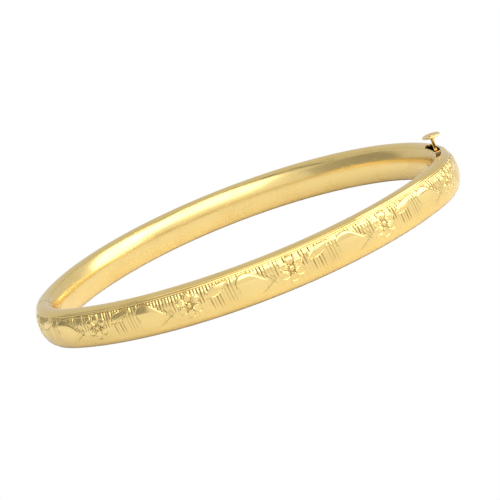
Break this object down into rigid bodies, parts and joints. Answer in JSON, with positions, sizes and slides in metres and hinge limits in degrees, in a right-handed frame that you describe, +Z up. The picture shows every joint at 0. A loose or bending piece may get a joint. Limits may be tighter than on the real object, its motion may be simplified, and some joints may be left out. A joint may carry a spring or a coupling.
{
  "type": "hinged bangle bracelet",
  "caption": "Oval hinged bangle: two hollow domed half-rings joined by a knuckle hinge and a spring tongue clasp with a raised round thumb piece; front half decorated.",
  "frame": {"origin": "centre of the closed bangle's outline, on the plane its lower edge rests on", "axes": "+X from the hinge end to the clasp end, +Y to the plain rear half, -Y to the decorated front half, +Z up along the ring's axis, towards the thumb piece"},
  "size_m": [0.063, 0.051, 0.0078],
  "materials": {
    "polished_gold": "polished",
    "embossed_gold": "embossed, polished high parts",
    "cut_gold": "filed and lightly polished",
    "spring_gold": "hard-rolled, lightly brushed",
    "pin_gold": "drawn wire, peened ends"
  },
  "bodies": {
    "rear_half": {"rear_shell": "polished_gold", "rear_liner": "polished_gold", "rear_hinge_plate": "cut_gold", "rear_hinge_knuckle": "cut_gold", "rear_clasp_plate": "cut_gold", "tongue_lower_leaf": "spring_gold"},
    "front_half": {"front_shell": "embossed_gold", "front_liner": "polished_gold", "front_hinge_plate": "cut_gold", "front_hinge_knuckle_upper": "cut_gold", "front_hinge_knuckle_lower": "cut_gold", "hinge_pin": "pin_gold", "front_clasp_plate": "cut_gold"},
    "thumb_lever": {"tongue_spring_leaf": "spring_gold", "thumb_stem": "spring_gold", "thumb_disc": "polished_gold", "thumb_rivet": "cut_gold"}
  },
  "joints": [
    {"name": "front_half_opens", "type": "hinge", "parent": "rear_half", "child": "front_half", "pos_m": [-0.0305, -0.00255, 0.00285], "axis": [0, 0, -1], "range_deg": [0, 40]},
    {"name": "thumb_piece_presses", "type": "hinge", "parent": "rear_half", "child": "thumb_lever", "pos_m": [0.0295, -0.0072, 0.00205], "axis": [-1, 0, 0], "range_deg": [0, 6.5], "stiffness_Nm_per_rad": 0.12}
  ]
}
